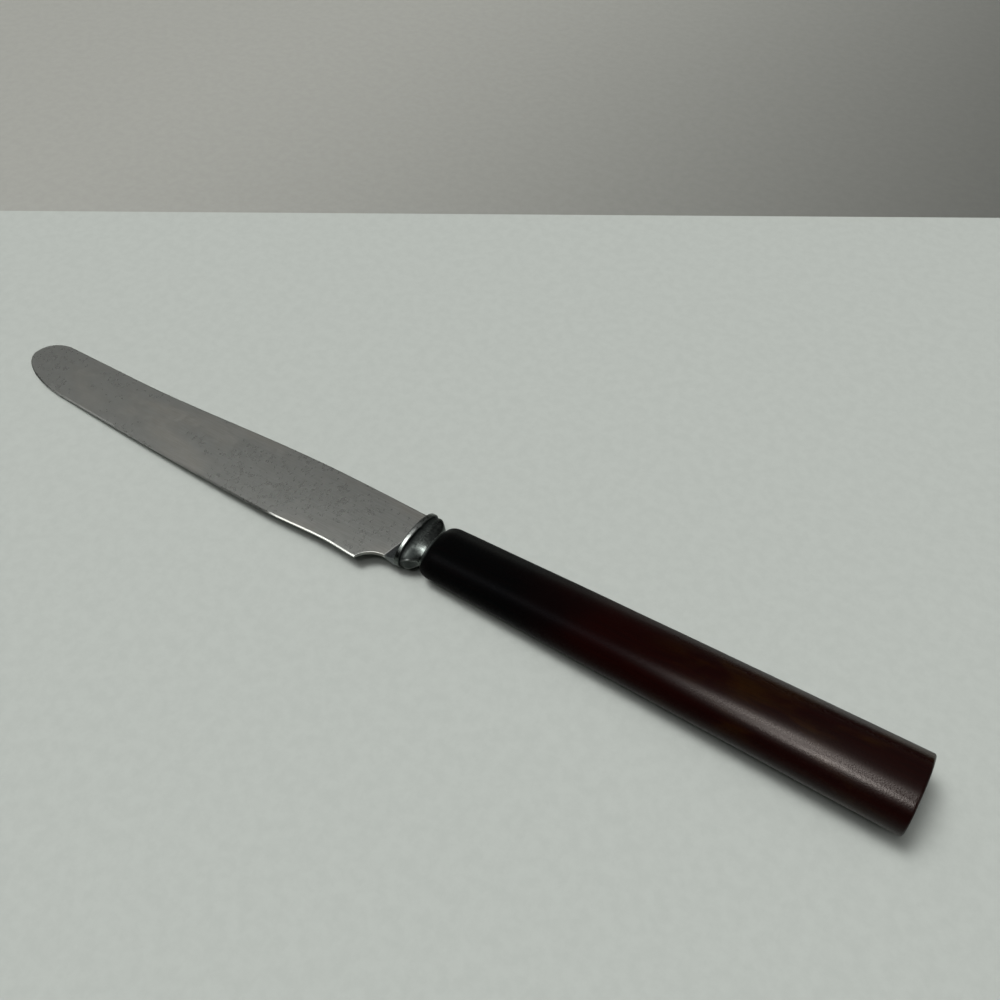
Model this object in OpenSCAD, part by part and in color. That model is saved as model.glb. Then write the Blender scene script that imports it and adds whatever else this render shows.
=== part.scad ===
/* [Blade] */
// Length of the blade from the bolster to the tip
blade_len = 125.6; // [110:0.2:150]
// How far the foremost point of the tip lies off the knife's axis, towards the cutting edge
tip_drop = 1.8; // [1:0.1:3]
// Length of the round tip on its spine side
tip_spine_len = 7.8; // [5:0.1:10]
// Length of the longer curve of the tip on its cutting side
tip_edge_len = 18.4; // [12:0.1:24]
// Spine to axis just behind the round tip
spine_tip = 4.5; // [4:0.1:5.4]
// Cutting edge to axis if it ran on to the tip without the round
edge_tip = 9.1; // [8.4:0.1:9.8]
// Spine to axis at the bolster
spine_root = 6.5; // [6:0.1:7.2]
// Spine to axis where the spine stands highest
spine_crown = 6.9; // [6.7:0.1:7.6]
// Distance from the bolster to the spine's highest place
spine_crown_at = 27; // [15:1:40]
// Distance from the bolster to where the spine runs straight again
spine_fall_end = 93; // [75:1:110]
// Cutting edge to axis at the heel corner
edge_heel = 11.5; // [10.5:0.1:12]
// Cutting edge to axis where sharpening has worn it hollow
edge_worn = 11.1; // [10.4:0.1:11.5]
// Cutting edge to axis at the belly, the blade's widest place
edge_belly = 11.9; // [11.5:0.1:13]
// Distance from the bolster to the heel corner
heel_at = 8.2; // [6:0.1:10]
// Distance from the bolster to the middle of the worn hollow
edge_worn_at = 17; // [13:1:22]
// Distance from the bolster to the belly
edge_belly_at = 36; // [30:1:50]
// Lower edge of the short unsharpened stretch to the axis
ricasso_drop = 7.8; // [6.8:0.1:7.8]
// Length of the unsharpened stretch before the choil curves down
ricasso_len = 2.7; // [1.5:0.1:4]

/* [Blade thickness] */
// Thickness at the bolster, where the blade is not ground
ricasso_thick = 2.5; // [2.3:0.1:3]
// Thickness of the spine at the bolster
spine_thick = 2; // [1.6:0.1:2.2]
// Thickness of the cutting edge at the heel
edge_thick = 0.7; // [0.4:0.1:1]
// Thickness in the middle of the tip
tip_thick = 0.9; // [0.7:0.1:1.2]
// Skew of the line where the grind stops
plunge_skew = 14; // [5:1:20]

/* [Tang] */
// Length of the tang inside the handle
tang_len = 58; // [30:1:80]
// Width of the tang at the bolster
tang_root_w = 4.8; // [4:0.1:4.8]
// Width of the tang at its end
tang_end_w = 2.6; // [2:0.1:3.5]
// Thickness of the tang
tang_thick = 1.5; // [1.2:0.1:1.6]

/* [Bolster] */
// Length of the bolster along the knife
bolster_len = 6; // [5.6:0.1:8]
// Width of the oval flange
flange_w = 15.8; // [15.6:0.1:17]
// Thickness of the oval flange
flange_t = 8.2; // [7.4:0.1:9]
// Length of the flange's rim along the knife
flange_rim = 1.3; // [1:0.1:1.8]
// Rounding of the rim's two edges
flange_round = 0.35; // [0.2:0.05:0.45]
// Thickness of the waist behind the flange
waist_t = 5.2; // [4.6:0.1:6]
// Width of the foot that meets the handle
foot_w = 10.4; // [9:0.1:12]
// Thickness of the foot that meets the handle
foot_t = 5.9; // [5.7:0.1:6.6]
// Straight length of the foot
foot_len = 0.7; // [0.5:0.1:1.5]
// Tallest place of the lens-shaped flat on each side
side_flat_t = 3; // [2:0.1:3.6]
// Height of the plain land at the ends of that flat
side_land_t = 0.3; // [0.2:0.1:0.6]

/* [Handle] */
// Length of the handle
handle_len = 108.4; // [90:0.2:120]
// Width of the handle at the bolster
front_w = 14.5; // [13.6:0.1:15.6]
// Thickness of the handle at the bolster
front_t = 8; // [7.2:0.1:8.4]
// Width of the handle at the butt
butt_w = 17.8; // [16:0.1:20]
// Thickness of the handle at the butt
butt_t = 12.6; // [10:0.1:14]
// Swell of the handle's middle beyond a straight taper, on each side
swell = 0.15; // [0:0.05:0.5]
// Length of the soft rounding at the handle's front, along the knife
front_round = 2.2; // [1:0.1:3]
// How far that rounding draws the handle's front face in on each side
front_draw = 1.1; // [0.6:0.1:1.2]
// Rounding of the butt's edge
butt_round = 0.8; // [0.5:0.1:1.2]

/* [Fits] */
// Room for cement between the tang's corners and the wall of the handle's bore
cement_wall = 0.25; // [0.2:0.05:0.3]
// Room for cement between the tang's end and the end of the bore
cement_end = 3; // [1:0.5:8]
// Seat between the cast bolster, the tang, the cement and the bore
seat_gap = 0.03; // [0.02:0.01:0.05]

/* [Hidden] */
$fn = 96;
overrun = 1;
tang_weld = 0.3;
spine_steps = 24;
edge_steps = 24;
arc_steps = 20;
ring_steps = 36;
cove_steps = 20;
round_steps = 5;
body_steps = 10;

// The tip is two quarters of different ovals, which meet at its foremost point
tip_spine_at = blade_len - tip_spine_len;
tip_edge_at = blade_len - tip_edge_len;
tip_rise = spine_tip + tip_drop;

// The higher this is, the later the cutting edge bends in from the belly towards the tip
edge_fade = 1.6;

// The choil is an arc, level where it leaves the unsharpened stretch, down to the heel corner
choil_run = heel_at - ricasso_len;
choil_fall = edge_heel - ricasso_drop;
choil_r = (choil_run * choil_run + choil_fall * choil_fall) / (2 * choil_fall);
choil_turn = 90 - asin((choil_r - choil_fall) / choil_r);

// Each ground face is one plane: it falls from spine to edge, and more gently from bolster to tip
grind_fall = (spine_thick - edge_thick) / 2 / (spine_root + edge_heel);
tip_half = tip_thick / 2;
root_half = spine_thick / 2;
taper_fall = (root_half - grind_fall * (spine_root + tip_drop) - tip_half) / blade_len;
plunge_at = ricasso_len;
plunge_half = root_half - grind_fall * (spine_root + ricasso_drop) - taper_fall * plunge_at;
plunge_rise = ricasso_thick / 2 - plunge_half;

// The bore in the handle is as wide as the tang's corners and their cement need
bore_r = norm([tang_root_w, tang_thick]) / 2 + cement_wall;
bore_depth = tang_len + cement_end;

// The knife lies on the flange and the tip, or on a deep butt and the tip
knife_front = bolster_len + blade_len;
tip_back_half = tip_half + taper_fall * tip_spine_len;
flange_reach = tip_spine_at + flange_round;
butt_reach = handle_len - butt_round + bolster_len + tip_spine_at;
flange_slope = (flange_t / 2 - tip_back_half) / flange_reach;
tip_dip = norm([grind_fall * tip_rise, (flange_slope - taper_fall) * tip_spine_len]);
rest_slope = max((flange_t / 2 - tip_back_half - tip_dip) / flange_reach,
                 (butt_t / 2 - tip_back_half - tip_dip) / butt_reach);
rest_tilt = asin(rest_slope);
rest_lift = (bolster_len + tip_spine_at) * sin(rest_tilt) + (tip_back_half + tip_dip) * cos(rest_tilt);
rear_reach = (handle_len - butt_round) * cos(rest_tilt) + (butt_t / 2 - butt_round) * sin(rest_tilt) + butt_round;
front_reach = knife_front * cos(rest_tilt) + tip_half * sin(rest_tilt);
centre_x = (front_reach - rear_reach) / 2;
butt_half = handle_half(handle_len - butt_round, front_w, butt_w);
centre_y = (max(edge_belly, butt_half) - max(spine_crown, butt_half)) / 2;

function ease(t) = t * t * (3 - 2 * t);
function mix(a, b, t) = a + (b - a) * t;

// Outline of the blade: out is the distance from the bolster towards the tip
function spine_at(out) =
    out < spine_crown_at ? mix(spine_root, spine_crown, sin(90 * out / spine_crown_at))
    : out < spine_fall_end ?
        mix(spine_tip, spine_crown, ease((spine_fall_end - out) / (spine_fall_end - spine_crown_at)))
    : spine_tip;
function edge_at(out) =
    out < edge_worn_at ? mix(edge_worn, edge_heel, ease((edge_worn_at - out) / (edge_worn_at - heel_at)))
    : out < edge_belly_at ?
        mix(edge_worn, edge_belly, ease((out - edge_worn_at) / (edge_belly_at - edge_worn_at)))
    : mix(edge_belly, edge_tip, pow((out - edge_belly_at) / (blade_len - edge_belly_at), edge_fade));

function spine_line() = [
    for (i = [0:spine_steps - 1]) let (out = tip_spine_at * i / spine_steps) [out, spine_at(out)]
];
function tip_spine_arc() = [
    for (i = [0:arc_steps])
        let (turn = 90 * i / arc_steps)
        let (out = tip_spine_at + tip_spine_len * sin(turn))
        [out, (spine_at(out) + tip_drop) * cos(turn) - tip_drop]
];
function tip_edge_arc() = [
    for (i = [arc_steps - 1:-1:0])
        let (turn = 90 * i / arc_steps)
        let (out = tip_edge_at + tip_edge_len * sin(turn))
        [out, (tip_drop - edge_at(out)) * cos(turn) - tip_drop]
];
function edge_line() = [
    for (i = [1:edge_steps]) let (out = mix(tip_edge_at, heel_at, i / edge_steps)) [out, -edge_at(out)]
];
function choil_arc() = [
    for (i = [1:arc_steps])
        let (turn = mix(90 - choil_turn, 90, i / arc_steps))
        [ricasso_len + choil_r * cos(turn), choil_r * sin(turn) - choil_r - ricasso_drop]
];
function blade_outline() =
    concat(spine_line(), tip_spine_arc(), tip_edge_arc(), edge_line(), choil_arc(), [[0, -ricasso_drop]]);

// Turns a distance out from the bolster into the knife's own frame, with x = 0 at the handle's front
function along(out) = -bolster_len - out;

// One side of the grind: everything above this plane goes, as far as the skew plunge line
module grind() {
    reach = blade_len + overrun;
    translate([along(plunge_at), -ricasso_drop, plunge_half])
        rotate([atan(grind_fall), -atan(taper_fall), 0])
        rotate([0, 0, -plunge_skew])
        rotate([90, 0, 0])
        linear_extrude(height = 2 * blade_len, center = true)
        polygon([
            [-2 * reach, 0],
            [0, 0],
            [plunge_at, plunge_rise],
            [reach, plunge_rise],
            [reach, ricasso_thick],
            [-2 * reach, ricasso_thick]
        ]);
}

module tang_bar(gap = 0, from = 0, to = tang_len) {
    root = tang_root_w / 2 + gap;
    end = tang_end_w / 2 + gap;
    half_at_from = mix(root, end, (from + bolster_len) / (tang_len + bolster_len));
    half_at_to = mix(root, end, (to + bolster_len) / (tang_len + bolster_len));
    linear_extrude(height = tang_thick + 2 * gap, center = true)
        polygon([[from, -half_at_from], [to, -half_at_to], [to, half_at_to], [from, half_at_from]]);
}

module blade_plate() {
    difference() {
        linear_extrude(height = ricasso_thick, center = true)
            polygon([for (p = blade_outline()) [along(p[0]), p[1]]]);
        grind();
        mirror([0, 0, 1]) grind();
    }
}

// Rings of points, all alike in number, joined into one closed skin
module skin(rings) {
    count = len(rings[0]);
    last = len(rings) - 1;
    sides = [
        for (i = [0:last - 1])
            for (j = [0:count - 1])
                let (a = i * count + j)
                let (b = i * count + (j + 1) % count)
                each [[a, b, a + count], [b, b + count, a + count]]
    ];
    near_cap = [for (j = [count - 1:-1:0]) j];
    far_cap = [for (j = [0:count - 1]) last * count + j];
    polyhedron(points = [for (ring = rings) each ring], faces = concat(sides, [near_cap, far_cap]));
}

// Bolster sizes at a distance back from the handle towards the blade
cove_end = bolster_len - flange_rim;
cove_end_w = flange_w - 3 * flange_round;
cove_end_t = flange_t - 4 * flange_round;
waist_at = cove_end / 2;
waist_crown = 1.6;
function end_inset(back) =
    back > bolster_len - flange_round ?
        flange_round - sqrt(max(0, pow(flange_round, 2) - pow(back - bolster_len + flange_round, 2)))
    : back < cove_end + flange_round ?
        flange_round - sqrt(max(0, pow(flange_round, 2) - pow(cove_end + flange_round - back, 2)))
    : 0;
function cove_share(back) = max(0, (back - foot_len) / (cove_end - foot_len));
function cove_half_w(back) = mix(foot_w, cove_end_w, sin(90 * cove_share(back))) / 2;
function cove_half_t(back) =
    back < waist_at ? mix(waist_t, foot_t, pow((waist_at - back) / waist_at, 2)) / 2
    : mix(waist_t, cove_end_t, pow((back - waist_at) / waist_at, 2)) / 2;
function flat_share(back) = back >= cove_end ? 0 : sin(180 * cove_share(back));
function flat_half(back) = mix(side_land_t, side_flat_t, flat_share(back)) / 2;

// One ring: crowned above and below, sharper at the waist, with an upright flat on each side
function bolster_ring(back, half_w, half_t) =
    let (flat = flat_half(back))
    let (crown = mix(1, waist_crown, flat_share(back)))
    [
        for (side = [1, -1])
            for (i = [0:ring_steps])
                let (turn = 180 * i / ring_steps)
                [-back, side * half_w * cos(turn), side * mix(flat, half_t, pow(sin(turn), crown))]
    ];

function cove_rings() = [
    for (i = [0:cove_steps])
        let (back = cove_end * i / cove_steps)
        bolster_ring(back, cove_half_w(back), cove_half_t(back))
];
function rim_places() = concat(
    [for (i = [0:round_steps]) cove_end + flange_round * (1 - cos(90 * i / round_steps))],
    [for (i = [0:round_steps]) bolster_len - flange_round * (1 - sin(90 * i / round_steps))]
);
function rim_rings() = [
    for (back = rim_places())
        bolster_ring(back, flange_w / 2 - end_inset(back), flange_t / 2 - end_inset(back))
];

// Handle sizes along its length
function handle_inset(x) =
    x < front_round ? front_draw * (1 - sqrt(max(0, 1 - pow(1 - x / front_round, 2))))
    : x > handle_len - butt_round ?
        butt_round - sqrt(max(0, pow(butt_round, 2) - pow(x - handle_len + butt_round, 2)))
    : 0;
function handle_swell(x) = swell * sin(180 * x / handle_len);
function handle_half(x, front, butt) = mix(front, butt, x / handle_len) / 2 + handle_swell(x) - handle_inset(x);
function handle_ring(x) =
    let (half_w = handle_half(x, front_w, butt_w))
    let (half_t = handle_half(x, front_t, butt_t))
    [
        for (i = [0:2 * ring_steps - 1])
            let (turn = -180 * i / ring_steps)
            [x, half_w * cos(turn), half_t * sin(turn)]
    ];
function handle_places() = concat(
    [for (i = [0:round_steps]) front_round * (1 - cos(90 * i / round_steps))],
    [for (i = [1:body_steps - 1]) mix(front_round, handle_len - butt_round, i / body_steps)],
    [for (i = [0:round_steps]) handle_len - butt_round * (1 - sin(90 * i / round_steps))]
);

// Lays the knife down, on its flange and its tip, centred over the origin
module laid_down() {
    translate([centre_x, centre_y, rest_lift]) rotate([0, -rest_tilt, 0]) children();
}

module blade() {
    color([0.42, 0.42, 0.39]) laid_down() {
        blade_plate();
        tang_bar(from = along(tang_weld), to = tang_len);
    }
}

module bolster() {
    color([0.5, 0.52, 0.5]) laid_down() difference() {
        skin(concat(cove_rings(), rim_rings()));
        tang_bar(gap = seat_gap, from = along(overrun), to = overrun);
    }
}

module handle() {
    color([0.16, 0.05, 0.03]) laid_down() difference() {
        skin([for (x = handle_places()) handle_ring(x)]);
        translate([-overrun, 0, 0]) rotate([0, 90, 0]) cylinder(r = bore_r, h = bore_depth + overrun);
    }
}

module tang_cement() {
    color([0.35, 0.25, 0.15]) laid_down() difference() {
        translate([seat_gap, 0, 0])
            rotate([0, 90, 0])
            cylinder(r = bore_r - seat_gap, h = bore_depth - 2 * seat_gap);
        tang_bar(gap = seat_gap, from = -overrun, to = tang_len + seat_gap);
    }
}

blade();
bolster();
handle();
tang_cement();
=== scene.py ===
"""Looks of an old round-ended table knife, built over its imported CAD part.

Sizes of the knife are in millimetres. Those before the first function are the same as in the part's source.
The knife's own frame has x = 0 at the front face of the handle, +x towards the butt and +y towards the spine.
Distances called out or back run the other way, from the bolster to the tip and from the handle to the blade.
"""

import bmesh
import bpy
import math
from mathutils import Matrix, Vector, noise
from mathutils.geometry import delaunay_2d_cdt


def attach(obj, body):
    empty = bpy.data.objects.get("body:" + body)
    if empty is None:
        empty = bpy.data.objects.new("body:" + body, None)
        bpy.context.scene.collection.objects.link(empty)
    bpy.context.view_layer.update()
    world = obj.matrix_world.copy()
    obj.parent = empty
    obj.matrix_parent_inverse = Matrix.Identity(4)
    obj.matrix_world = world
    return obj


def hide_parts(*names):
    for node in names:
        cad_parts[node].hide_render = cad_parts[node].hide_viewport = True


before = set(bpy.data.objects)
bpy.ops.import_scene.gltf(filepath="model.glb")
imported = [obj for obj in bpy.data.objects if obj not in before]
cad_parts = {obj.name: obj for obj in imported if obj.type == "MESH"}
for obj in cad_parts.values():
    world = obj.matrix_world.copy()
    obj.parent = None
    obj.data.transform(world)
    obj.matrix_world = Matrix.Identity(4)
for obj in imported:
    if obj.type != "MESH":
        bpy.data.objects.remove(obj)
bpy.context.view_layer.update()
MM = 0.001

# Blade
BLADE_LEN = 125.6
TIP_DROP = 1.8
TIP_SPINE_LEN = 7.8
TIP_EDGE_LEN = 18.4
SPINE_TIP = 4.5
EDGE_TIP = 9.1
SPINE_ROOT = 6.5
SPINE_CROWN = 6.9
SPINE_CROWN_AT = 27
SPINE_FALL_END = 93
EDGE_HEEL = 11.5
EDGE_WORN = 11.1
EDGE_BELLY = 11.9
HEEL_AT = 8.2
EDGE_WORN_AT = 17
EDGE_BELLY_AT = 36
EDGE_FADE = 1.6
RICASSO_DROP = 7.8
RICASSO_LEN = 2.7
RICASSO_THICK = 2.5
SPINE_THICK = 2
EDGE_THICK = 0.7
TIP_THICK = 0.9
PLUNGE_SKEW = 14

# Tang
TANG_LEN = 58
TANG_ROOT_W = 4.8
TANG_END_W = 2.6
TANG_THICK = 1.5

# Bolster
BOLSTER_LEN = 6
FLANGE_W = 15.8
FLANGE_T = 8.2
FLANGE_RIM = 1.3
FLANGE_ROUND = 0.35
WAIST_T = 5.2
WAIST_CROWN = 1.6
FOOT_W = 10.4
FOOT_T = 5.9
FOOT_LEN = 0.7
SIDE_FLAT_T = 3
SIDE_LAND_T = 0.3

# Handle
HANDLE_LEN = 108.4
FRONT_W = 14.5
FRONT_T = 8
BUTT_W = 17.8
BUTT_T = 12.6
SWELL = 0.15
BUTT_ROUND = 0.8

# Fits
CEMENT_WALL = 0.25
CEMENT_END = 3
SEAT_GAP = 0.03
BORE_R = math.hypot(TANG_ROOT_W, TANG_THICK) / 2 + CEMENT_WALL
BORE_DEPTH = TANG_LEN + CEMENT_END


def mix(a, b, t):
    return a + (b - a) * t


def ease(t):
    t = min(1, max(0, t))
    return t * t * (3 - 2 * t)


# Each ground face is one plane, as in the part's source
GRIND_FALL = (SPINE_THICK - EDGE_THICK) / 2 / (SPINE_ROOT + EDGE_HEEL)
TAPER_FALL = (SPINE_THICK / 2 - GRIND_FALL * (SPINE_ROOT + TIP_DROP) - TIP_THICK / 2) / BLADE_LEN
PLUNGE_HALF = SPINE_THICK / 2 - GRIND_FALL * (SPINE_ROOT + RICASSO_DROP) - TAPER_FALL * RICASSO_LEN
PLUNGE_RISE = RICASSO_THICK / 2 - PLUNGE_HALF

# The knife lies on its flange and its tip
TIP_SPINE_AT = BLADE_LEN - TIP_SPINE_LEN
TIP_EDGE_AT = BLADE_LEN - TIP_EDGE_LEN
TIP_BACK_HALF = TIP_THICK / 2 + TAPER_FALL * TIP_SPINE_LEN
FLANGE_REACH = TIP_SPINE_AT + FLANGE_ROUND
FLANGE_SLOPE = (FLANGE_T / 2 - TIP_BACK_HALF) / FLANGE_REACH
TIP_DIP = math.hypot(GRIND_FALL * (SPINE_TIP + TIP_DROP), (FLANGE_SLOPE - TAPER_FALL) * TIP_SPINE_LEN)
REST_TILT = math.asin((FLANGE_T / 2 - TIP_BACK_HALF - TIP_DIP) / FLANGE_REACH)
REST_LIFT = (BOLSTER_LEN + TIP_SPINE_AT) * math.sin(REST_TILT) + (TIP_BACK_HALF + TIP_DIP) * math.cos(REST_TILT)
FRONT_REACH = (BOLSTER_LEN + BLADE_LEN) * math.cos(REST_TILT) + TIP_THICK / 2 * math.sin(REST_TILT)
REAR_REACH = ((HANDLE_LEN - BUTT_ROUND) * math.cos(REST_TILT)
              + (BUTT_T / 2 - BUTT_ROUND) * math.sin(REST_TILT) + BUTT_ROUND)
CENTRE_X = (FRONT_REACH - REAR_REACH) / 2


def handle_half(x, front, butt):
    """Half the handle's width or thickness: a straight taper with a little swell in its middle."""
    return mix(front, butt, x / HANDLE_LEN) / 2 + SWELL * math.sin(math.pi * x / HANDLE_LEN)


BUTT_HALF = handle_half(HANDLE_LEN - BUTT_ROUND, FRONT_W, BUTT_W)
CENTRE_Y = (max(EDGE_BELLY, BUTT_HALF) - max(SPINE_CROWN, BUTT_HALF)) / 2


def laid(x, y, z):
    """A point of the knife's own frame, in millimetres, laid down in the shared frame, in metres."""
    c, s = math.cos(REST_TILT), math.sin(REST_TILT)
    return Vector((x * c - z * s + CENTRE_X, y + CENTRE_Y, x * s + z * c + REST_LIFT)) * MM


def spine_at(out):
    if out < SPINE_CROWN_AT:
        return mix(SPINE_ROOT, SPINE_CROWN, math.sin(math.pi / 2 * max(0, out) / SPINE_CROWN_AT))
    return mix(SPINE_TIP, SPINE_CROWN, ease((SPINE_FALL_END - out) / (SPINE_FALL_END - SPINE_CROWN_AT)))


def edge_at(out):
    if out < EDGE_WORN_AT:
        return mix(EDGE_WORN, EDGE_HEEL, ease((EDGE_WORN_AT - out) / (EDGE_WORN_AT - HEEL_AT)))
    if out < EDGE_BELLY_AT:
        return mix(EDGE_WORN, EDGE_BELLY, ease((out - EDGE_WORN_AT) / (EDGE_BELLY_AT - EDGE_WORN_AT)))
    return mix(EDGE_BELLY, EDGE_TIP, ((out - EDGE_BELLY_AT) / (BLADE_LEN - EDGE_BELLY_AT)) ** EDGE_FADE)


# Meshes

WELD_MM = 0.002


def add_mesh(name, points, faces, sharp_angle, material, marks=None):
    """A new piece, welded and facing outwards, smooth but for creases sharper than sharp_angle, in degrees.

    Each of the marks is a list with one number for each point, kept for the piece's material.
    """
    mesh = bpy.data.meshes.new(name)
    mesh.from_pydata(points, [], faces)
    for key, values in (marks or {}).items():
        mesh.attributes.new(key, "FLOAT", "POINT").data.foreach_set("value", values)
    work = bmesh.new()
    work.from_mesh(mesh)
    bmesh.ops.remove_doubles(work, verts=work.verts, dist=WELD_MM * MM)
    bmesh.ops.recalc_face_normals(work, faces=work.faces)
    work.to_mesh(mesh)
    work.free()
    mesh.update()
    mesh.shade_smooth()
    mesh.set_sharp_from_angle(angle=math.radians(sharp_angle))
    mesh.materials.append(material)
    piece = bpy.data.objects.new(name, mesh)
    bpy.context.scene.collection.objects.link(piece)
    return piece


def ring_faces(ring_count, per_ring, closed):
    """Quads between rings of points; closed joins the last ring to the first."""
    faces = []
    for i in range(ring_count if closed else ring_count - 1):
        a, b = i * per_ring, (i + 1) % ring_count * per_ring
        for j in range(per_ring):
            k = (j + 1) % per_ring
            faces.append((a + j, a + k, b + k, b + j))
    return faces


# Blade

SPINE_ROUND = 0.22
EDGE_BEVEL = 0.3
EDGE_NOSE_HALF = 0.07
EDGE_DROP = 0.26
EDGE_DROP_WORN = 0.1
EDGE_WORN_TO = 34
EDGE_WORN_FADE = 8
CREASE_SOFT = 0.12
CREASE_LINES = (-2, -1, -0.33, 0.33, 1, 2)
CREASE_POINTS = 39
CREASE_STEP = 0.3
CREASE_FIRST = 0.1
ROOT_SINK = 0.3
ROOT_CLEAR = SPINE_ROUND * 1.7
OUTLINE_STEP = 0.5
TIP_SPINE_STEPS = 48
TIP_EDGE_STEPS = 72
CHOIL_STEPS = 24
RICASSO_STEPS = 6
FACE_STEP = 2.5
FACE_FIRST = FACE_STEP * 1.6
FACE_FROM_SPINE = 1.5
FACE_FROM_EDGE = 2
FACE_TIP_SPAN = (-4.5, 1.2)
FACE_TIP_MORE = 1
BAND_LEVELS = (0, 0.12, 0.3, 0.55, 0.8, 1, 1.4)
TANG_RINGS = 9
TANG_CORNER = 0.2


def past_plunge(out, y):
    """How far a place lies behind the plunge line, towards the bolster."""
    skew = math.radians(PLUNGE_SKEW)
    return (RICASSO_LEN - out) * math.cos(skew) - (y + RICASSO_DROP) * math.sin(skew)


def half_thick(out, y):
    """Half the blade's thickness at a place: wedge ground, with the skew plunge facet at its root."""
    x_in = RICASSO_LEN - out
    y_in = y + RICASSO_DROP
    ground = PLUNGE_HALF + TAPER_FALL * x_in + GRIND_FALL * y_in
    along_plunge = past_plunge(out, y)
    if along_plunge > CREASE_SOFT:
        climb = along_plunge
    elif along_plunge > -CREASE_SOFT:
        climb = (along_plunge + CREASE_SOFT) ** 2 / (4 * CREASE_SOFT)
    else:
        climb = 0
    return min(RICASSO_THICK / 2, ground + min(1, climb / RICASSO_LEN) * PLUNGE_RISE)


def tip_points():
    """The round tip: two quarters of different ovals, which meet at its foremost point."""
    points = []
    for i in range(TIP_SPINE_STEPS + 1):
        share = i / TIP_SPINE_STEPS
        turn = math.pi / 2 * share
        out = TIP_SPINE_AT + TIP_SPINE_LEN * math.sin(turn)
        points.append((out, (spine_at(out) + TIP_DROP) * math.cos(turn) - TIP_DROP, 0.5 * ease(share)))
    for i in range(TIP_EDGE_STEPS - 1, -1, -1):
        share = i / TIP_EDGE_STEPS
        turn = math.pi / 2 * share
        out = TIP_EDGE_AT + TIP_EDGE_LEN * math.sin(turn)
        points.append((out, (TIP_DROP - edge_at(out)) * math.cos(turn) - TIP_DROP, 1 - 0.5 * ease(share)))
    return points


def choil_points():
    """The choil: an arc from the heel corner up to the short unsharpened stretch."""
    run, fall = HEEL_AT - RICASSO_LEN, EDGE_HEEL - RICASSO_DROP
    radius = (run * run + fall * fall) / (2 * fall)
    sweep = math.acos((radius - fall) / radius)
    points = []
    for i in range(1, CHOIL_STEPS + 1):
        turn = math.pi / 2 - sweep * (1 - i / CHOIL_STEPS)
        points.append((RICASSO_LEN + radius * math.cos(turn), radius * math.sin(turn) - radius - RICASSO_DROP, 0))
    return points


def blade_outline():
    """Points of the outline, from the root of the spine round the tip to the root of the lower edge.

    Each is (out, y, share), with the share that is cutting edge.
    """
    points = []
    steps = int(TIP_SPINE_AT / OUTLINE_STEP)
    for i in range(steps):
        out = mix(-ROOT_SINK, TIP_SPINE_AT, i / steps)
        points.append((out, spine_at(out), 0))
    points += tip_points()
    steps = int((TIP_EDGE_AT - HEEL_AT) / OUTLINE_STEP)
    for i in range(1, steps + 1):
        out = mix(TIP_EDGE_AT, HEEL_AT, i / steps)
        points.append((out, -edge_at(out), 1))
    points += choil_points()
    for i in range(1, RICASSO_STEPS + 1):
        points.append((mix(RICASSO_LEN, -ROOT_SINK, i / RICASSO_STEPS), -RICASSO_DROP, 0))
    return points


def inward(points, i):
    """Unit vector from an outline point into the blade."""
    a, b = points[i - 1], points[(i + 1) % len(points)]
    dx, dy = b[0] - a[0], b[1] - a[1]
    length = math.hypot(dx, dy)
    return dy / length, -dx / length


def blade_band(points):
    """Rings of the rounded spine and the bevelled cutting edge: rows of (out, y, half thickness)."""
    rings = []
    for share in BAND_LEVELS:
        ring = []
        for i, (out, y, cutting) in enumerate(points):
            nx, ny = inward(points, i)
            width = mix(SPINE_ROUND, EDGE_BEVEL, cutting)
            o, v = out + nx * width * share, y + ny * width * share
            full = half_thick(o, v)
            drop = mix(EDGE_DROP, EDGE_DROP_WORN, ease((EDGE_WORN_TO - out) / EDGE_WORN_FADE + 0.5))
            nose = mix(full - SPINE_ROUND, max(EDGE_NOSE_HALF, full - drop), cutting)
            rise = min(1, share)
            lift = mix(math.sqrt(1 - (1 - rise) ** 2), rise, cutting)
            ring.append((o, v, mix(nose, full, lift)))
        rings.append(ring)
    return rings


def crease_lines():
    """Lines of points (out, y) along the soft crease of the plunge, on the blade's face."""
    skew = math.radians(PLUNGE_SKEW)
    lines = []
    for share in CREASE_LINES:
        line = []
        for i in range(1, CREASE_POINTS + 1):
            up = CREASE_FIRST + CREASE_STEP * i
            out = RICASSO_LEN - (share * CREASE_SOFT + up * math.sin(skew)) / math.cos(skew)
            if out > ROOT_CLEAR - ROOT_SINK:
                line.append((out, up - RICASSO_DROP))
        lines.append(line)
    return lines


def blade_face(inner):
    """Triangles that fill the inner ring: one plane but for the plunge facet."""
    coords = [Vector((p[0], p[1])) for p in inner]
    edges = [(i, (i + 1) % len(inner)) for i in range(len(inner))]
    for line in crease_lines():
        start = len(coords)
        coords += [Vector(p) for p in line]
        edges += [(start + i, start + i + 1) for i in range(len(line) - 1)]
    out = FACE_FIRST
    while out < BLADE_LEN - FACE_STEP:
        low = FACE_FROM_EDGE - (RICASSO_DROP if out < HEEL_AT else edge_at(out))
        top = spine_at(out) - FACE_FROM_SPINE
        if out > TIP_SPINE_AT - FACE_TIP_MORE:
            low, top = FACE_TIP_SPAN
        rows = max(1, int((top - low) / FACE_STEP))
        coords += [Vector((out, mix(low, top, (i + 0.5) / rows))) for i in range(rows)]
        out += FACE_STEP
    verts, _, faces, _, _, _ = delaunay_2d_cdt(coords, edges, [], 1, 1e-6)
    return [(v[0], v[1], half_thick(v[0], v[1])) for v in verts], faces


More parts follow.
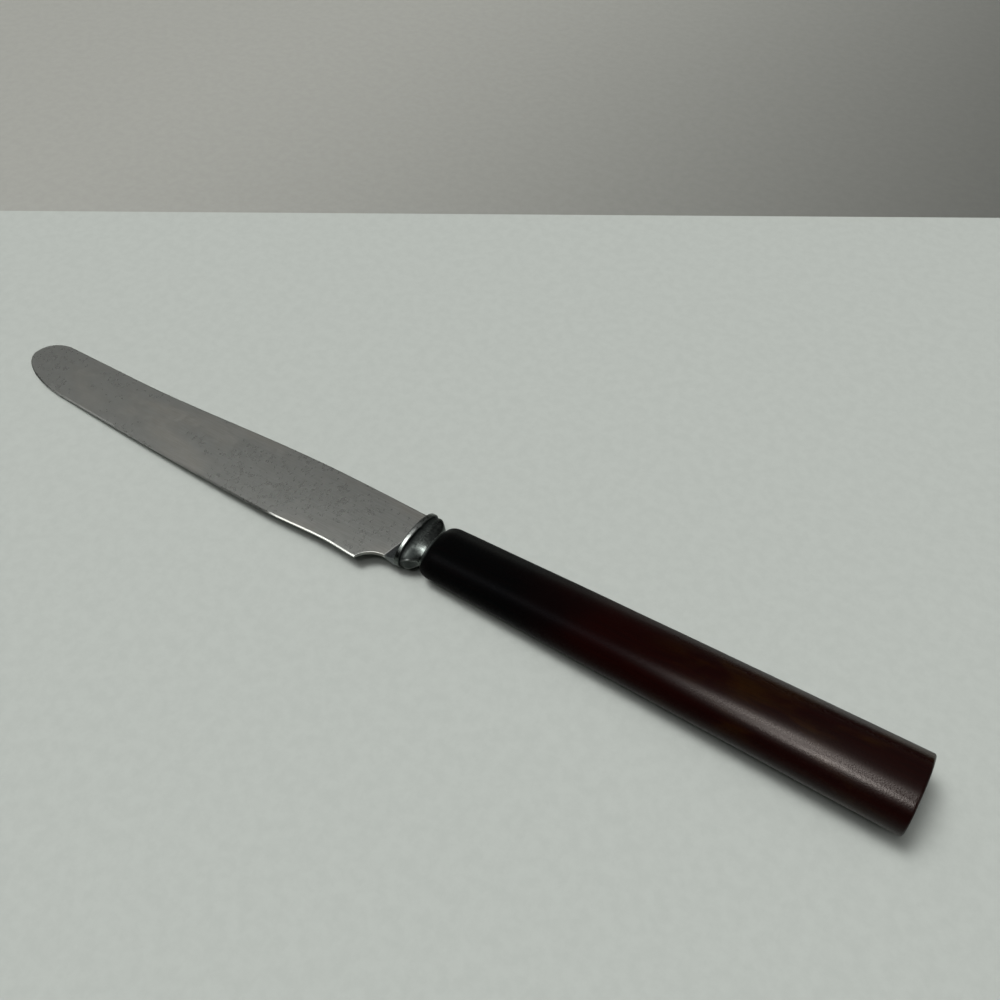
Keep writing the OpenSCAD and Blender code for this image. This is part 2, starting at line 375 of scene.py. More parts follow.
def tang_rings():
    """Rings of the flat tang, with cut corners."""
    front, rear = -BOLSTER_LEN - ROOT_SINK, TANG_LEN
    t = TANG_THICK / 2
    rings = []
    for i in range(TANG_RINGS):
        x = mix(front, rear, i / (TANG_RINGS - 1))
        w = mix(TANG_ROOT_W, TANG_END_W, (x + BOLSTER_LEN) / (TANG_LEN + BOLSTER_LEN)) / 2
        w_in, t_in = w - TANG_CORNER, t - TANG_CORNER
        rings.append([(x, y, z) for y, z in ((w, t_in), (w_in, t), (-w_in, t), (-w, t_in),
                                             (-w, -t_in), (-w_in, -t), (w_in, -t), (w, -t_in))])
    return rings


def make_blade(material):
    """The blade with its tang, as one piece."""
    outline = blade_outline()
    rings = blade_band(outline)
    count = len(outline)
    points, faces, forged_and_shade, wear_and_glint = [], [], [], []

    def put(p, side):
        points.append(laid(-BOLSTER_LEN - p[0], p[1], side * p[2]))
        behind = past_plunge(p[0], p[1])
        # The plunge facet is darker: partly forging scale, partly painted shade.
        forged_and_shade.append(ease(behind / CREASE_SOFT - 1))
        # The plunge crease is lighter: partly wear, partly a painted glint.
        wear_and_glint.append(ease(2 - abs(behind) / CREASE_SOFT))

    for side in (1, -1):
        base = len(points)
        for ring in rings:
            for p in ring:
                put(p, side)
        for face in ring_faces(len(rings), count, False):
            quad = tuple(base + v for v in face)
            faces.append(quad if side < 0 else quad[::-1])
        verts, inner_faces = blade_face(rings[-1])
        start = len(points)
        for p in verts:
            put(p, side)
        for face in inner_faces:
            tri = tuple(start + v for v in face)
            faces.append(tri[::-1] if side > 0 else tri)
    below = len(points) // 2
    for i in range(count):
        j = (i + 1) % count
        faces.append((i, j, below + j, below + i))

    start = len(points)
    tang = tang_rings()
    per_ring = len(tang[0])
    points += [laid(*p) for ring in tang for p in ring]
    for face in ring_faces(len(tang), per_ring, False):
        faces.append(tuple(start + v for v in face)[::-1])
    faces.append(tuple(range(start, start + per_ring)))
    faces.append(tuple(range(len(points) - 1, len(points) - 1 - per_ring, -1)))

    tang_points = [0] * (len(tang) * per_ring)
    marks = {"forged_and_shade": forged_and_shade + tang_points, "wear_and_glint": wear_and_glint + tang_points}
    return add_mesh("blade_ground", points, faces, 25, material, marks)


# Bolster

COVE_END = BOLSTER_LEN - FLANGE_RIM
COVE_END_W = FLANGE_W - 3 * FLANGE_ROUND
COVE_END_T = FLANGE_T - 4 * FLANGE_ROUND
WAIST_AT = COVE_END / 2
BOLSTER_AROUND = 96
COVE_RINGS = 64
ROUND_RINGS = 8
FLAT_LEVELS = (0.8, 0, -0.8)
SLOT_CORNER = 0.02
CREST_GRIME_SHADE = 2.2
CREST_UNEVEN = 0.1
CREST_WAVES = 11
CREST_NOISE_AT = (2.3, 0.7)
CREST_NICK = 0.22
CREST_NICK_AT = 0.213
CREST_NICK_WIDE = 0.012
CREST_RINGS = 7
RIDGE_WIDE = 0.4
FLAT_GRIME_SHADE = 0.8
CROWN_GRIME_SHADE = 0.95
CROWN_UNDARKENED = 2.7
CROWN_FADE = 1.6
RIM_WEAR_GLINT_AT = 0.3
RIM_WEAR_GLINT_FADE = 0.06
RIM_WEAR_GLINT_LOW = 0.1
RIM_FACE_WEAR = 0.15
RIM_FACE_GRIME_SHADE = 0.65
RIM_FACE_SHARP = 10


def cove_share(back):
    """Share of the way from the foot to the crest of the scooped waist."""
    return max(0, (back - FOOT_LEN) / (COVE_END - FOOT_LEN))


def flat_share(back):
    """How high the side flat's arch stands, as a share of its full height."""
    return 0 if back >= COVE_END else math.sin(math.pi * cove_share(back))


def cove_half_w(back):
    return mix(FOOT_W, COVE_END_W, math.sin(math.pi / 2 * cove_share(back))) / 2


def cove_half_t(back):
    if back < WAIST_AT:
        return mix(WAIST_T, FOOT_T, ((WAIST_AT - back) / WAIST_AT) ** 2) / 2
    return mix(WAIST_T, COVE_END_T, ((back - WAIST_AT) / WAIST_AT) ** 2) / 2


def bolster_ring(back, half_w, half_t):
    """One ring: crowned above and below, with an upright flat on each side."""
    flat = mix(SIDE_LAND_T, SIDE_FLAT_T, flat_share(back)) / 2
    crown = mix(1, WAIST_CROWN, flat_share(back))
    ring = []
    for side in (1, -1):
        for i in range(BOLSTER_AROUND + 1):
            turn = math.pi * i / BOLSTER_AROUND
            lift = mix(flat, half_t, max(0, math.sin(turn)) ** crown)
            ring.append((-back, side * half_w * math.cos(turn), side * lift))
        ring += [(-back, -side * half_w, side * share * flat) for share in FLAT_LEVELS]
    return ring


def slot_ring(back):
    """The tang's slot through the bolster, as a ring with as many points as the others."""
    half_w = mix(TANG_ROOT_W, TANG_END_W, (BOLSTER_LEN - back) / (TANG_LEN + BOLSTER_LEN)) / 2 + SEAT_GAP
    half_t = TANG_THICK / 2 + SEAT_GAP
    ring = []
    for side in (1, -1):
        for i in range(BOLSTER_AROUND + 1):
            turn = math.pi * i / BOLSTER_AROUND
            c, s = math.cos(turn), math.sin(turn)
            reach = min(half_w / max(abs(c), 1e-6), half_t / max(abs(s), 1e-6))
            ring.append((-back, side * reach * c, side * reach * s))
        ring += [(-back, -side * half_w, side * share * SLOT_CORNER) for share in FLAT_LEVELS]
    return ring


def crest_wave(turn_share):
    """The cast rim's back edge is not quite even, and has one nick in it."""
    wave = CREST_UNEVEN * noise.noise(Vector((turn_share * CREST_WAVES, *CREST_NOISE_AT)))
    nick = CREST_NICK * math.exp(-((turn_share - CREST_NICK_AT) / CREST_NICK_WIDE) ** 2)
    return wave - nick


def rim_wear_and_glint(turn_share):
    """The rim is lighter along its upper edge, and less towards the near tip and below: partly wear, partly a painted
    highlight.
    """
    return mix(1, RIM_WEAR_GLINT_LOW, ease((turn_share - RIM_WEAR_GLINT_AT) / RIM_WEAR_GLINT_FADE))


def bolster_rings():
    """Rings from the foot over the waist and the flange and back through the slot. Each ring carries its lighter mark,
    which is wear with painted glints, and its darker mark, which is grime with painted shade.
    """
    rings, wear_and_glint, grime_and_shade = [slot_ring(0)], [0], [1]

    def put(back, half_w, half_t, bright, dark):
        rings.append(bolster_ring(back, half_w, half_t))
        wear_and_glint.append(bright)
        grime_and_shade.append(dark)

    for i in range(COVE_RINGS + 1):
        back = COVE_END * i / COVE_RINGS
        # Darker in the cove just behind the crest and at the foot by the handle: partly grime, partly painted shade.
        under_crest = ease((back - COVE_END + CREST_GRIME_SHADE) / CREST_GRIME_SHADE)
        put(back, cove_half_w(back), cove_half_t(back), 0, max(under_crest, ease(1 - back / FOOT_LEN)))
    for i in range(ROUND_RINGS + 1):
        turn = math.pi / 2 * i / ROUND_RINGS
        inset = FLANGE_ROUND * (1 - math.sin(turn))
        back = COVE_END + FLANGE_ROUND * (1 - math.cos(turn))
        # Lighter towards the crest, partly wear and partly a painted glint; darker below it, partly grime and partly
        # painted shade.
        put(back, FLANGE_W / 2 - inset, FLANGE_T / 2 - inset, math.sin(turn) ** 3, 1 - math.sin(turn))
    for i in range(ROUND_RINGS + 1):
        turn = math.pi / 2 * i / ROUND_RINGS
        inset = FLANGE_ROUND * (1 - math.cos(turn))
        back = BOLSTER_LEN - FLANGE_ROUND * (1 - math.sin(turn))
        # The rim's crest line is lightest, a painted glint line. The rim's face is lighter from wear, and darkened
        # partly by grime and partly by painted shade.
        on_rim = math.cos(turn) ** RIM_FACE_SHARP
        bright, dark = mix(RIM_FACE_WEAR, 1, on_rim), RIM_FACE_GRIME_SHADE * (1 - on_rim)
        put(back, FLANGE_W / 2 - inset, FLANGE_T / 2 - inset, bright, dark)
    rings.append(slot_ring(BOLSTER_LEN))
    wear_and_glint.append(0)
    grime_and_shade.append(1)
    return rings, wear_and_glint, grime_and_shade


def wave_crest(rings):
    """Moves the rim's back edge along the knife by its unevenness, which fades out over the rings before it."""
    per_ring = len(rings[0])
    first_round, last_round = COVE_RINGS + 2, COVE_RINGS + 1 + ROUND_RINGS
    for i in range(first_round - CREST_RINGS + 1, last_round):
        share = min(1, (i - first_round + CREST_RINGS) / CREST_RINGS)
        for j, (x, y, z) in enumerate(rings[i]):
            rings[i][j] = (x - share * crest_wave(j / per_ring), y, z)


def make_bolster(material):
    """The cast bolster: foot, scooped waist, oval flange with rounded rim, and the tang's slot."""
    rings, wear_and_glint, grime_and_shade = bolster_rings()
    wave_crest(rings)
    per_ring = len(rings[0])
    points, bright, dark = [], [], []
    for i, ring in enumerate(rings):
        arch = flat_share(-ring[0][0]) if 0 < i <= COVE_RINGS else 0
        for j, (x, y, z) in enumerate(ring):
            points.append(laid(x, y, z))
            on_flat = j % (per_ring // 2) > BOLSTER_AROUND
            # The side flat's ridge is lighter: a painted highlight line.
            ridge = 0 if on_flat else ease(1 - (cove_half_w(-x) - abs(y)) / RIDGE_WIDE)
            bright.append(max(wear_and_glint[i] * rim_wear_and_glint(j / per_ring), arch * ridge))
            # Darker on the side flats and on the crown's near side: partly grime, partly painted shade.
            off_crown = CROWN_GRIME_SHADE * arch * (1 - ridge) * ease((-y - CROWN_UNDARKENED) / CROWN_FADE)
            dark.append(max(grime_and_shade[i], FLAT_GRIME_SHADE * arch if on_flat else off_crown))
    marks = {"wear_and_glint": bright, "grime_and_shade": dark}
    return add_mesh("bolster_cast", points, ring_faces(len(rings), per_ring, True), 40, material, marks)


# Handle

HANDLE_AROUND = 144
HANDLE_RINGS = 220
FRONT_RINGS = 12
BUTT_RINGS = 10
BUTT_FACE_RINGS = (0.6, 0.2)
BORE_END_R = 0.2
HANDLE_UNEVEN = 0.05
UNEVEN_ALONG = 0.06
UNEVEN_ROUND = 1.2
BUTT_MORE = 0.4
WOOD_END = HANDLE_LEN + BUTT_MORE
WOOD_BUTT_ROUND = 0.5
WOOD_FRONT_ROUND = 2.8
WOOD_FRONT_DRAW = 1.3
POLISH_SHEEN_AT = 0.56
POLISH_SHEEN_WIDE = 0.15
OFF_POLISH_SHEEN = 0.9


def wood_inset(x):
    """How far the wood is drawn in at its two rounded ends."""
    if x < WOOD_FRONT_ROUND:
        return WOOD_FRONT_DRAW * (1 - math.sqrt(max(0, 1 - (1 - x / WOOD_FRONT_ROUND) ** 2)))
    if x > WOOD_END - WOOD_BUTT_ROUND:
        return WOOD_BUTT_ROUND - math.sqrt(max(0, WOOD_BUTT_ROUND ** 2 - (x - WOOD_END + WOOD_BUTT_ROUND) ** 2))
    return 0


def handle_ring(x):
    """One ring of the wood, oval and not quite even."""
    half_w = handle_half(min(x, HANDLE_LEN), FRONT_W, BUTT_W) - wood_inset(x)
    half_t = handle_half(min(x, HANDLE_LEN), FRONT_T, BUTT_T) - wood_inset(x)
    ring = []
    for i in range(HANDLE_AROUND):
        turn = -2 * math.pi * i / HANDLE_AROUND
        c, s = math.cos(turn), math.sin(turn)
        wave = HANDLE_UNEVEN * noise.noise(Vector((x * UNEVEN_ALONG, c * UNEVEN_ROUND, s * UNEVEN_ROUND)))
        ring.append((x, (half_w + wave) * c, (half_t + wave) * s))
    return ring


def bore_ring(x, radius):
    """One round ring of the bore, with as many points as a ring of the wood."""
    ring = []
    for i in range(HANDLE_AROUND):
        turn = -2 * math.pi * i / HANDLE_AROUND
        ring.append((x, radius * math.cos(turn), radius * math.sin(turn)))
    return ring


def handle_places():
    """Where the rings of the wood lie along the handle, closer together on its two rounded ends."""
    start, end = WOOD_FRONT_ROUND, WOOD_END - WOOD_BUTT_ROUND
    places = [start * (1 - math.cos(math.pi / 2 * i / FRONT_RINGS)) for i in range(FRONT_RINGS + 1)]
    places += [mix(start, end, i / HANDLE_RINGS) for i in range(1, HANDLE_RINGS)]
    places += [WOOD_END - WOOD_BUTT_ROUND * (1 - math.sin(math.pi / 2 * i / BUTT_RINGS)) for i in range(BUTT_RINGS + 1)]
    return places


def off_polish_sheen(y, wide):
    """The handle's sheen is kept to a band on each shoulder and fades away from it: partly polish by use, partly a
    painted highlight that sets where the sheen is seen.
    """
    off_band = (abs(y) / wide - POLISH_SHEEN_AT) / POLISH_SHEEN_WIDE
    return OFF_POLISH_SHEEN * (1 - math.exp(-off_band ** 2))


def make_handle(material):
    """The turned and shaped wooden handle, with its blind bore."""
    rings = [bore_ring(BORE_DEPTH, BORE_END_R), bore_ring(BORE_DEPTH, BORE_R), bore_ring(0, BORE_R)]
    rings += [handle_ring(x) for x in handle_places()]
    butt_edge = rings[-1]
    rings += [[(x, y * share, z * share) for x, y, z in butt_edge] for share in BUTT_FACE_RINGS]
    points = [laid(*p) for ring in rings for p in ring]
    dull = []
    for ring in rings:
        wide = max(y for _, y, _ in ring)
        dull += [off_polish_sheen(y, wide) for _, y, _ in ring]
    faces = ring_faces(len(rings), HANDLE_AROUND, False)
    last = (len(rings) - 1) * HANDLE_AROUND
    faces.append(tuple(last + i for i in range(HANDLE_AROUND)))
    faces.append(tuple(range(HANDLE_AROUND - 1, -1, -1)))
    return add_mesh("handle_wood", points, faces, 40, material, {"dull": dull})


# Materials

STEEL_HEEL_SHADE = (-120, 20)
BURNT = (22, 52)
BURNT_WANDER = 30
AMBER = (48, 66)
DULL = (15, 88)
HANDLED_SHEEN = (20, 95)


class Nodes:
    """Small helper that adds nodes to a material and links them."""

    def __init__(self, name):
        self.material = bpy.data.materials.new(name)
        self.material.use_nodes = True
        self.tree = self.material.node_tree
        self.shader = self.tree.nodes["Principled BSDF"]

    def add(self, kind, inputs=None, **settings):
        node = self.tree.nodes.new(kind)
        for key, value in settings.items():
            setattr(node, key, value)
        for key, value in (inputs or {}).items():
            if isinstance(value, bpy.types.NodeSocket):
                self.tree.links.new(value, node.inputs[key])
            else:
                node.inputs[key].default_value = value
        return node

    def set(self, **values):
        for key, value in values.items():
            socket = self.shader.inputs[key.replace("_", " ")]
            if isinstance(value, bpy.types.NodeSocket):
                self.tree.links.new(value, socket)
            else:
                socket.default_value = value

    def place(self, stretch=(1, 1, 1), shift=(0, 0, 0)):
        """Object coordinates, in millimetres, stretched along the axes."""
        coords = self.add("ShaderNodeTexCoord").outputs["Object"]
        scale = tuple(s / MM for s in stretch)
        return self.add("ShaderNodeMapping", {"Vector": coords, "Scale": scale, "Location": shift}).outputs["Vector"]

    def noise(self, place, scale, detail=4, rough=0.5, warp=0):
        inputs = {"Vector": place, "Scale": scale, "Detail": detail, "Roughness": rough, "Distortion": warp}
        return self.add("ShaderNodeTexNoise", inputs).outputs["Fac"]

    def span(self, value, low, high, to_low=0, to_high=1):
        inputs = {"Value": value, "From Min": low, "From Max": high, "To Min": to_low, "To Max": to_high}
        return self.add("ShaderNodeMapRange", inputs, interpolation_type="SMOOTHSTEP").outputs["Result"]

    def along(self, places, shift=0, **ends):
        """0 before and 1 after two places along the part, in millimetres, with an optional shift in metres."""
        coords = self.add("ShaderNodeTexCoord").outputs["Object"]
        x = self.add("ShaderNodeSeparateXYZ", {"Vector": coords}).outputs["X"]
        if shift:
            x = self.math("ADD", x, shift)
        return self.span(x, places[0] * MM, places[1] * MM, **ends)

    def math(self, operation, a, b=0.0):
        return self.add("ShaderNodeMath", {0: a, 1: b}, operation=operation).outputs[0]

    def blend(self, share, a, b, kind="MIX"):
        node = self.add("ShaderNodeMix", data_type="RGBA", blend_type=kind)
        for socket, value in ((node.inputs[0], share), (node.inputs[6], a), (node.inputs[7], b)):
            if isinstance(value, bpy.types.NodeSocket):
                self.tree.links.new(value, socket)
            else:
                socket.default_value = value if socket == node.inputs[0] else (*value, 1)
        return node.outputs[2]

    def bump(self, height, depth_mm, strength=1.0, under=None):
        inputs = {"Height": height, "Distance": depth_mm * MM, "Strength": strength}
        if under:
            inputs["Normal"] = under
        return self.add("ShaderNodeBump", inputs).outputs["Normal"]


def steel_material():
    """Satin worn steel: fine scratches mostly along the blade, faint brownish clouds and tiny dark specks. It is darker
    from the tip towards the heel as painted shade, darker on the plunge facet as forging scale and painted shade, and
    lighter along the plunge crease as wear and a painted glint.
    """
    n = Nodes("blade_steel")
    plain = n.place()
    clouds = n.span(n.noise(n.place((0.4, 1, 1)), 0.09, 3, 0.55), 0.45, 0.72)
    scratches = n.noise(n.place((0.06, 1, 1)), 3.2, 3, 0.6)
    cross = n.noise(n.place((0.5, 0.35, 1), (7, 3, 0)), 2.0, 3, 0.6, 0.4)
    specks = n.span(n.noise(plain, 0.9, 2, 0.6), 0.72, 0.80)
    # Darker from the tip towards the heel: painted shade that evens out the light on the blade.
    painted_light_and_wear = n.along(STEEL_HEEL_SHADE)
    bright = n.blend(painted_light_and_wear, (0.315, 0.322, 0.30), (0.20, 0.205, 0.19))
    tarnished = n.blend(painted_light_and_wear, (0.27, 0.265, 0.235), (0.17, 0.165, 0.148))
    colour = n.blend(clouds, bright, tarnished)
    colour = n.blend(n.span(scratches, 0.35, 0.65, 0, 0.2), colour, (0.36, 0.365, 0.345))
    colour = n.blend(n.math("MULTIPLY", specks, 0.05), colour, (0.10, 0.09, 0.08))
    forged_and_shade = n.add("ShaderNodeAttribute", attribute_name="forged_and_shade").outputs["Fac"]
    wear_and_glint = n.add("ShaderNodeAttribute", attribute_name="wear_and_glint").outputs["Fac"]
    # Darker colour on the plunge facet: partly forging scale, partly painted shade.
    scale_skin_and_shade = n.blend(n.span(n.noise(plain, 2.4, 4, 0.65), 0.35, 0.65), (0.085, 0.095, 0.095), (0.15, 0.16, 0.16))
    colour = n.blend(forged_and_shade, colour, scale_skin_and_shade)
    # Lighter along the plunge crease: partly wear, partly a painted glint.
    colour = n.blend(n.math("MULTIPLY", wear_and_glint, 0.8), colour, (0.6, 0.61, 0.58))
    rough = n.math("ADD", n.span(cross, 0.2, 0.8, 0.26, 0.31), n.math("MULTIPLY", clouds, 0.05))
    n.set(Base_Color=colour, Metallic=1.0, Roughness=rough, Normal=n.bump(scratches, 0.004, 0.5))
    return n.material


def cast_material():
    """Dull grey cast metal with a pitted skin. It is darker behind the crest, at the foot, on the side flats and on the
    crown's near side, partly grime and partly painted shade. It is lighter on the rim and the side flats' ridge, partly
    wear and partly painted glints.
    """
    n = Nodes("cast_metal")
    plain = n.place()
    skin = n.noise(plain, 1.9, 5, 0.7)
    pits = n.span(n.noise(plain, 3.2, 3, 0.6), 0.62, 0.76)
    wear_and_glint = n.add("ShaderNodeAttribute", attribute_name="wear_and_glint").outputs["Fac"]
    grime_and_shade = n.add("ShaderNodeAttribute", attribute_name="grime_and_shade").outputs["Fac"]
    painted_light_and_wear = n.math("MULTIPLY", wear_and_glint, n.span(n.noise(plain, 0.9, 3), 0.3, 0.6, 0.4, 1))
    colour = n.blend(n.span(skin, 0.35, 0.65), (0.05, 0.057, 0.053), (0.13, 0.143, 0.134))
    # Darker where the grime mark is: partly grime, partly painted shade.
    colour = n.blend(n.math("MULTIPLY", grime_and_shade, 0.9), colour, (0.02, 0.023, 0.022))
    # Lighter on the rim and the side flats' ridge: partly wear, partly painted glints.
    colour = n.blend(painted_light_and_wear, colour, (0.22, 0.232, 0.22))
    colour = n.blend(n.math("MULTIPLY", pits, 0.4), colour, (0.07, 0.076, 0.07))
    rough = n.math("ADD", n.span(skin, 0.3, 0.7, 0.19, 0.27), n.math("MULTIPLY", grime_and_shade, 0.4))
    rough = n.math("ADD", rough, n.math("MULTIPLY", painted_light_and_wear, 0.12))
    height = n.math("SUBTRACT", skin, n.math("MULTIPLY", pits, 0.7))
    n.set(Base_Color=colour, Metallic=1.0, Roughness=rough, Normal=n.bump(height, 0.016, 0.5))
    return n.material


def on_handle(places):
    """Places along the handle, from its front face, as places along the part."""
    return [CENTRE_X + place for place in places]


def wood_material():
    """Dark polished hardwood: black by the bolster, oxblood brown towards the butt, with amber mottles. Its sheen is
    faded towards the bolster and kept to a band on each shoulder: partly polish by use, partly painted highlight and
    shade in the reflection's strength.
    """
    n = Nodes("dark_hardwood")
    plain = n.place()
    wander = n.math("MULTIPLY", n.math("SUBTRACT", n.noise(plain, 0.06, 3), 0.5), BURNT_WANDER * MM)
    burnt = n.along(on_handle(BURNT), wander)
    mottle = n.span(n.noise(n.place((0.35, 1, 1)), 0.16, 4, 0.6, 0.6), 0.46, 0.68)
    amber_reach = n.along(on_handle(AMBER))
    grain = n.noise(n.place((0.05, 1, 1)), 1.4, 5, 0.6, 0.8)
    colour = n.blend(burnt, (0.0003, 0.0005, 0.0006), (0.0075, 0.0006, 0.0003))
    colour = n.blend(n.math("MULTIPLY", mottle, amber_reach), colour, (0.0150, 0.0048, 0.0004))
    colour = n.blend(n.span(grain, 0.35, 0.65, 0.35, 0), colour, (0.002, 0.0006, 0.0005))
    speckle = n.noise(plain, 3.0, 3, 0.7)
    dull = n.along(on_handle(DULL), to_low=0.3, to_high=0)
    off_polish_sheen = n.add("ShaderNodeAttribute", attribute_name="dull").outputs["Fac"]
    rough = n.math("ADD", n.span(speckle, 0.3, 0.7, 0.12, 0.24), dull)
    rough = n.math("ADD", rough, n.math("MULTIPLY", off_polish_sheen, 0.25))
    sparkle = n.noise(plain, 3.6, 2, 0.6)
    height = n.math("ADD", sparkle, n.math("MULTIPLY", grain, 0.4))
    n.set(Base_Color=colour, Roughness=rough, Normal=n.bump(height, 0.024, 1.0))
    # The specular tint fades the sheen towards the bolster and off the shoulder bands. This is painted shade and
    # highlight in the reflection's strength, partly polish by use.
    handled_sheen = n.math("POWER", n.along(on_handle(HANDLED_SHEEN)), 4.0)
    polish_sheen = n.blend(handled_sheen, (0.012, 0.012, 0.014), (0.95, 0.86, 0.80))
    polish_sheen = n.blend(off_polish_sheen, polish_sheen, (0, 0, 0))
    n.set(Specular_IOR_Level=0.6, Specular_Tint=polish_sheen)
    return n.material


def cement_material():
    """Brown cutler's cement, gritty and matte."""
    n = Nodes("cutlers_cement")
    grit = n.noise(n.place(), 2.2, 5, 0.65)
    colour = n.blend(n.span(grit, 0.3, 0.7), (0.26, 0.17, 0.10), (0.42, 0.31, 0.19))
    n.set(Base_Color=colour, Roughness=n.span(grit, 0.3, 0.7, 0.75, 0.95), Normal=n.bump(grit, 0.08, 0.6))
    return n.material


def cloth_material(name, left_colour, right_colour):
    """Plain pale ground with a trace of unevenness, whose colour may fade from left to right; on the back this fade is
    painted shade.
    """
    n = Nodes(name)
    soft = n.noise(n.place(), 0.35, 4, 0.6)
    colour = n.blend(n.along(BACK_SHADE_FADE), left_colour, right_colour)
    colour = n.blend(n.span(soft, 0.3, 0.7, 0.05, 0), colour, (0, 0, 0))
    n.set(Base_Color=colour, Roughness=0.95, Normal=n.bump(n.noise(n.place(), 0.9, 3, 0.6), 0.10, 0.5))
    n.set(Specular_IOR_Level=0.1)
    return n.material


# Camera, from a fit of the knife's outline to the photograph

CAMERA_AT = Vector((85.542 + CENTRE_X, CENTRE_Y - 107.64, 181.885)) * MM
CAMERA_AZIMUTH = math.radians(-32.503)
CAMERA_DOWN = math.radians(49.551)
CAMERA_ROLL = math.radians(0.406)
CAMERA_FOCAL = 36
CAMERA_NEAR = 0.005


def make_camera():
    """A camera whose focal length is as long as its sensor is wide."""
    forward = Vector((math.sin(CAMERA_AZIMUTH) * math.cos(CAMERA_DOWN),
                      math.cos(CAMERA_AZIMUTH) * math.cos(CAMERA_DOWN),
                      -math.sin(CAMERA_DOWN)))
    right = Vector((math.cos(CAMERA_AZIMUTH), -math.sin(CAMERA_AZIMUTH), 0))
    up = right.cross(forward)
    c, s = math.cos(CAMERA_ROLL), math.sin(CAMERA_ROLL)
    right, up = right * c + up * s, up * c - right * s
    data = bpy.data.cameras.new("camera")
    data.lens = CAMERA_FOCAL
    data.sensor_width = CAMERA_FOCAL
    data.clip_start = CAMERA_NEAR
    camera = bpy.data.objects.new("camera", data)
    turn = Matrix((right, up, -forward)).transposed().to_4x4()
    camera.matrix_world = Matrix.Translation(CAMERA_AT) @ turn
    bpy.context.scene.collection.objects.link(camera)
    bpy.context.scene.camera = camera


# Stage

FLOOR_COLOUR = (0.49, 0.52, 0.485)
# The back is darker than the floor, and darker still to the right: painted shade.
BACK_SHADE_LEFT = (0.385, 0.388, 0.355)
BACK_SHADE_RIGHT = (0.085, 0.088, 0.08)
BACK_AWAY = 0.132
BACK_SHADE_FADE = (-200, 200)
FLOOR_HALF = 1.0
RIM_WIDE = 0.4
RIM_HIGH = 0.28
RIM_STEPS = 10


def rim_height(u, v):
    """The floor is level in its middle and turns up in a quarter of an oval all round it."""
    reach = math.hypot(max(0, abs(u) - FLOOR_HALF), max(0, abs(v) - FLOOR_HALF))
    return RIM_HIGH * (1 - math.sqrt(max(0, 1 - min(1, reach / RIM_WIDE) ** 2)))


def make_stage():
    """A plain pale floor that turns up all round, far away. Behind a line square to the camera's azimuth it is darker,
    and darker still to the right, as painted shade.
    """
    outer = [FLOOR_HALF + RIM_WIDE * math.sin(math.pi / 2 * i / RIM_STEPS) for i in range(RIM_STEPS + 1)]
    us = [-u for u in reversed(outer)] + outer
    vs = [-v for v in reversed(outer)] + [BACK_AWAY] + outer
    across = Vector((math.cos(CAMERA_AZIMUTH), -math.sin(CAMERA_AZIMUTH), 0))
    away = Vector((math.sin(CAMERA_AZIMUTH), math.cos(CAMERA_AZIMUTH), 0))
    points = [across * u + away * v + Vector((0, 0, rim_height(u, v))) for v in vs for u in us]
    wide = len(us)
    faces, behind = [], []
    for i in range(len(vs) - 1):
        for j in range(wide - 1):
            faces.append((i * wide + j, i * wide + j + 1, (i + 1) * wide + j + 1, (i + 1) * wide + j))
            behind.append(vs[i] >= BACK_AWAY)
    piece = add_mesh("ground", points, faces, 60, cloth_material("pale_floor", FLOOR_COLOUR, FLOOR_COLOUR))
    # The back's material is painted shade, darker to the right.
    piece.data.materials.append(cloth_material("shaded_back", BACK_SHADE_LEFT, BACK_SHADE_RIGHT))
    for face, back in zip(piece.data.polygons, behind):
        face.material_index = 1 if back else 0


# Light

SKY_LIGHTS = (
    (258, 70, 0.80, 45),
    (78, 42, 0.05, 14),
    (20, 50, 0.04, 20),
    (312, 66, 0.008, 150),
    (294, 34, 0.028, 6),
)
ROOM_TOP = 0.5
ROOM_LEVEL = 0.5
KEY_TOWARDS = (0.06, -0.45, 0.89)
KEY_AWAY = 0.9
KEY_SIZE = 0.15
KEY_SHARE = 0.08


def soft_light(name, towards, distance, size, share):
    """A square soft light that gives this share of a full white level on a level surface at the origin."""
    towards = Vector(towards).normalized()
    data = bpy.data.lights.new(name, "AREA")
    data.shape = "SQUARE"
    data.size = size
    data.energy = share * math.pi ** 2 * distance ** 2 / towards.z
    light = bpy.data.objects.new(name, data)
    light.location = towards * distance
    light.rotation_euler = towards.to_track_quat("Z", "Y").to_euler()
    bpy.context.scene.collection.objects.link(light)


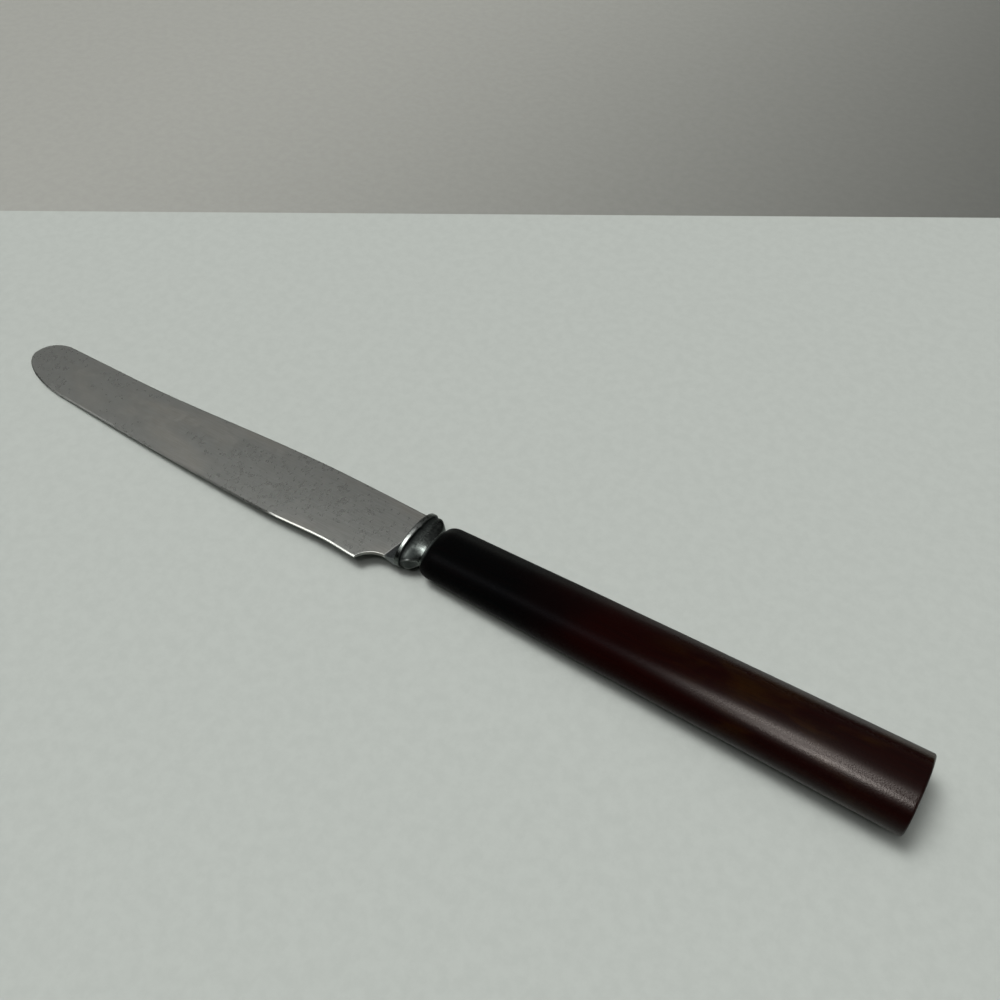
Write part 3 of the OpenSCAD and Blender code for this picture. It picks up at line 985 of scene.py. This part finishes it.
def make_lights():
    """One small lamp and the soft lights of the sky.

    Each sky light is its azimuth and height in degrees, its share of a full level and its tightness.
    Near the horizon the camera also sees a pale room, which lights nothing.
    """
    world = bpy.data.worlds.new("world")
    bpy.context.scene.world = world
    world.use_nodes = True
    nodes, links = world.node_tree.nodes, world.node_tree.links
    coords = nodes.new("ShaderNodeTexCoord").outputs["Generated"]

    def step(operation, a, b):
        node = nodes.new("ShaderNodeMath")
        node.operation = operation
        for socket, value in zip(node.inputs, (a, b)):
            if isinstance(value, bpy.types.NodeSocket):
                links.new(value, socket)
            else:
                socket.default_value = value
        return node.outputs[0]

    total = 0.0
    for azimuth, height, share, tight in SKY_LIGHTS:
        turn, lift = math.radians(azimuth), math.radians(height)
        facing = nodes.new("ShaderNodeVectorMath")
        facing.operation = "DOT_PRODUCT"
        facing.inputs[1].default_value = (math.sin(turn) * math.cos(lift), math.cos(turn) * math.cos(lift),
                                          math.sin(lift))
        links.new(coords, facing.inputs[0])
        lobe = step("POWER", step("MAXIMUM", facing.outputs["Value"], 0.0), tight)
        total = step("ADD", step("MULTIPLY", lobe, share * (tight + 1) / (2 * math.sin(lift))), total)
    direction = nodes.new("ShaderNodeSeparateXYZ")
    links.new(coords, direction.inputs[0])
    seen = nodes.new("ShaderNodeLightPath").outputs["Is Camera Ray"]
    falling = step("SUBTRACT", 1.0, step("DIVIDE", direction.outputs["Z"], ROOM_TOP))
    room = step("MULTIPLY", step("MAXIMUM", falling, 0.0), ROOM_LEVEL)
    total = step("ADD", total, step("MULTIPLY", room, seen))
    background = nodes["Background"]
    background.inputs["Color"].default_value = (1, 1, 1, 1)
    links.new(total, background.inputs["Strength"])
    soft_light("key", KEY_TOWARDS, KEY_AWAY, KEY_SIZE, KEY_SHARE)


make_camera()
make_stage()
make_lights()
steel = steel_material()
blade = make_blade(steel)
bolster = make_bolster(cast_material())
handle = make_handle(wood_material())
for piece, node, slot in ((blade, "blade", "blade_steel"), (bolster, "bolster", "cast_metal"),
                          (handle, "handle", "dark_hardwood")):
    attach(piece, "root")
    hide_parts(node)
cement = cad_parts["tang_cement"]
cement.data.materials.clear()
cement.data.materials.append(cement_material())

bpy.context.scene.view_settings.view_transform = "Standard"
